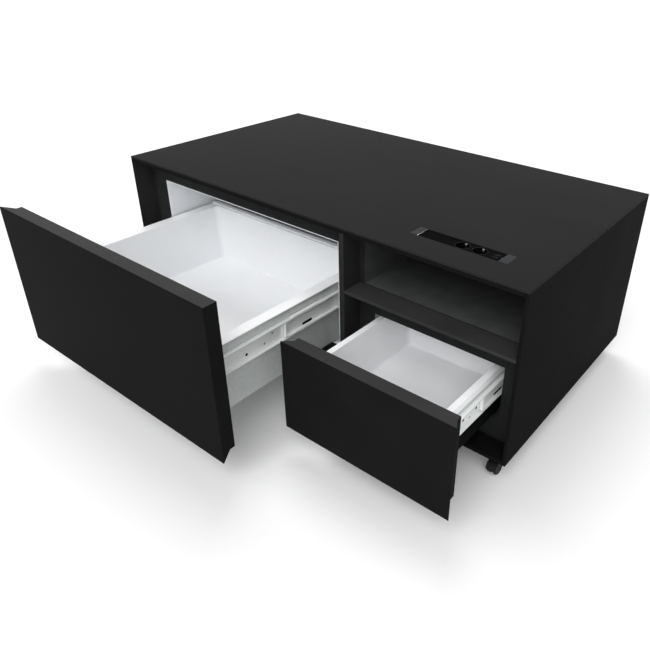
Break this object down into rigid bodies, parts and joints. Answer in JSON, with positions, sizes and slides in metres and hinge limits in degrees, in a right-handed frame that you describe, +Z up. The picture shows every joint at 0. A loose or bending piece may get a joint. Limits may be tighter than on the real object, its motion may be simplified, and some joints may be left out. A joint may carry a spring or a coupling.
{
  "type": "refrigerator coffee table",
  "caption": "Low coffee table with a cold drawer, a storage drawer under an open niche, a socket strip in its glass top, and casters.",
  "frame": {"origin": "on the floor, in the middle of the footprint that the case and the open cold drawer cover", "axes": "+X to the right seen from the front, +Y to the back, +Z up"},
  "size_m": [1.3, 1.0914, 0.509],
  "materials": {
    "tinted_glass": "gloss",
    "black_lacquered_board": "satin",
    "black_drawer_front": "satin",
    "black_coated_steel": "satin",
    "vent_plastic": "matte",
    "white_liner_plastic": "satin",
    "white_tub_plastic": "satin",
    "gasket_rubber": "matte",
    "foam": "matte",
    "galvanised_sheet": "satin",
    "zinc_plated_steel": "gloss",
    "cage_steel": "satin",
    "aluminium": "satin",
    "compressor_enamel": "satin",
    "foot_rubber": "matte",
    "copper": "satin",
    "socket_plastic": "satin",
    "bright_cap_metal": "satin",
    "caster_plate_steel": "satin",
    "caster_plastic": "satin"
  },
  "bodies": {
    "cabinet": {"top_glass": "tinted_glass", "top_board": "black_lacquered_board", "side_panel_left": "black_lacquered_board", "side_panel_right": "black_lacquered_board", "bottom_board": "black_lacquered_board", "divider": "black_lacquered_board", "shelf": "black_lacquered_board", "back_panel": "black_lacquered_board", "cold_frame": "black_coated_steel", "bay_frame": "black_coated_steel", "niche_box": "black_coated_steel", "vent_grille": "vent_plastic", "control_box": "vent_plastic", "fan_shroud": "vent_plastic", "cold_liner": "white_liner_plastic", "cold_foam": "foam", "bay_sheet": "galvanised_sheet", "cold_slide_fixed": "zinc_plated_steel", "store_slide_fixed": "zinc_plated_steel", "evaporator": "aluminium", "condenser": "aluminium", "compressor": "compressor_enamel", "compressor_feet": "foot_rubber", "refrigerant_lines": "copper", "strip_body": "socket_plastic", "strip_face": "socket_plastic", "mains_inlet": "socket_plastic", "strip_caps": "bright_cap_metal", "usb_shells": "bright_cap_metal", "caster_plates": "caster_plate_steel"},
    "cold_drawer": {"cold_drawer_front": "black_drawer_front", "door_panel": "white_liner_plastic", "gasket": "gasket_rubber", "cold_drawer_box": "galvanised_sheet", "cold_drawer_tub": "white_tub_plastic", "cold_slide_drawer": "zinc_plated_steel"},
    "cold_middle": {"cold_slide_middle": "zinc_plated_steel"},
    "cold_front_cage": {"cold_front_cages": "cage_steel"},
    "cold_rear_cage": {"cold_rear_cages": "cage_steel"},
    "store_drawer": {"store_drawer_front": "black_drawer_front", "store_drawer_box": "galvanised_sheet", "store_drawer_tub": "white_tub_plastic", "store_slide_drawer": "zinc_plated_steel"},
    "store_middle": {"store_slide_middle": "zinc_plated_steel"},
    "store_front_cage": {"store_front_cages": "cage_steel"},
    "store_rear_cage": {"store_rear_cages": "cage_steel"},
    "fan": {"fan_rotor": "vent_plastic"},
    "fork_front_left": {"caster_fork_front_left": "caster_plastic"},
    "wheels_front_left": {"caster_wheels_front_left": "caster_plastic"},
    "fork_front_right": {"caster_fork_front_right": "caster_plastic"},
    "wheels_front_right": {"caster_wheels_front_right": "caster_plastic"},
    "fork_rear_left": {"caster_fork_rear_left": "caster_plastic"},
    "wheels_rear_left": {"caster_wheels_rear_left": "caster_plastic"},
    "fork_rear_right": {"caster_fork_rear_right": "caster_plastic"},
    "wheels_rear_right": {"caster_wheels_rear_right": "caster_plastic"}
  },
  "joints": [
    {"name": "cold_drawer_slide", "type": "slide", "parent": "cabinet", "child": "cold_drawer", "axis": [0, -1, 0], "range_m": [-0.3914, 0.1086]},
    {"name": "cold_middle_slide", "type": "slide", "parent": "cabinet", "child": "cold_middle", "axis": [0, -1, 0], "range_m": [-0.1957, 0.0543]},
    {"name": "cold_front_cage_slide", "type": "slide", "parent": "cabinet", "child": "cold_front_cage", "axis": [0, -1, 0], "range_m": [-0.29355, 0.08145]},
    {"name": "cold_rear_cage_slide", "type": "slide", "parent": "cabinet", "child": "cold_rear_cage", "axis": [0, -1, 0], "range_m": [-0.09785, 0.02715]},
    {"name": "store_drawer_slide", "type": "slide", "parent": "cabinet", "child": "store_drawer", "axis": [0, -1, 0], "range_m": [-0.217, 0.133]},
    {"name": "store_middle_slide", "type": "slide", "parent": "cabinet", "child": "store_middle", "axis": [0, -1, 0], "range_m": [-0.1085, 0.0665]},
    {"name": "store_front_cage_slide", "type": "slide", "parent": "cabinet", "child": "store_front_cage", "axis": [0, -1, 0], "range_m": [-0.16275, 0.09975]},
    {"name": "store_rear_cage_slide", "type": "slide", "parent": "cabinet", "child": "store_rear_cage", "axis": [0, -1, 0], "range_m": [-0.05425, 0.03325]},
    {"name": "swivel_front_left", "type": "hinge", "parent": "cabinet", "child": "fork_front_left", "pos_m": [-0.612, -0.1143, 0.056], "axis": [0, 0, 1], "continuous": true},
    {"name": "roll_front_left", "type": "hinge", "parent": "fork_front_left", "child": "wheels_front_left", "pos_m": [-0.612, -0.1233, 0.018], "axis": [1, 0, 0], "continuous": true},
    {"name": "swivel_front_right", "type": "hinge", "parent": "cabinet", "child": "fork_front_right", "pos_m": [0.612, -0.1143, 0.056], "axis": [0, 0, 1], "continuous": true},
    {"name": "roll_front_right", "type": "hinge", "parent": "fork_front_right", "child": "wheels_front_right", "pos_m": [0.612, -0.1233, 0.018], "axis": [1, 0, 0], "continuous": true},
    {"name": "swivel_rear_left", "type": "hinge", "parent": "cabinet", "child": "fork_rear_left", "pos_m": [-0.612, 0.5057, 0.056], "axis": [0, 0, 1], "continuous": true},
    {"name": "roll_rear_left", "type": "hinge", "parent": "fork_rear_left", "child": "wheels_rear_left", "pos_m": [-0.612, 0.4967, 0.018], "axis": [1, 0, 0], "continuous": true},
    {"name": "swivel_rear_right", "type": "hinge", "parent": "cabinet", "child": "fork_rear_right", "pos_m": [0.612, 0.5057, 0.056], "axis": [0, 0, 1], "continuous": true},
    {"name": "roll_rear_right", "type": "hinge", "parent": "fork_rear_right", "child": "wheels_rear_right", "pos_m": [0.612, 0.4967, 0.018], "axis": [1, 0, 0], "continuous": true},
    {"name": "fan_spin", "type": "hinge", "parent": "cabinet", "child": "fan", "pos_m": [0.511, 0.5187, 0.151], "axis": [0, 1, 0], "continuous": true}
  ],
  "couplings": [
    {"joint": "cold_middle_slide", "follows": "cold_drawer_slide", "ratio": 0.5},
    {"joint": "cold_front_cage_slide", "follows": "cold_drawer_slide", "ratio": 0.75},
    {"joint": "cold_rear_cage_slide", "follows": "cold_drawer_slide", "ratio": 0.25},
    {"joint": "store_middle_slide", "follows": "store_drawer_slide", "ratio": 0.5},
    {"joint": "store_front_cage_slide", "follows": "store_drawer_slide", "ratio": 0.75},
    {"joint": "store_rear_cage_slide", "follows": "store_drawer_slide", "ratio": 0.25}
  ]
}
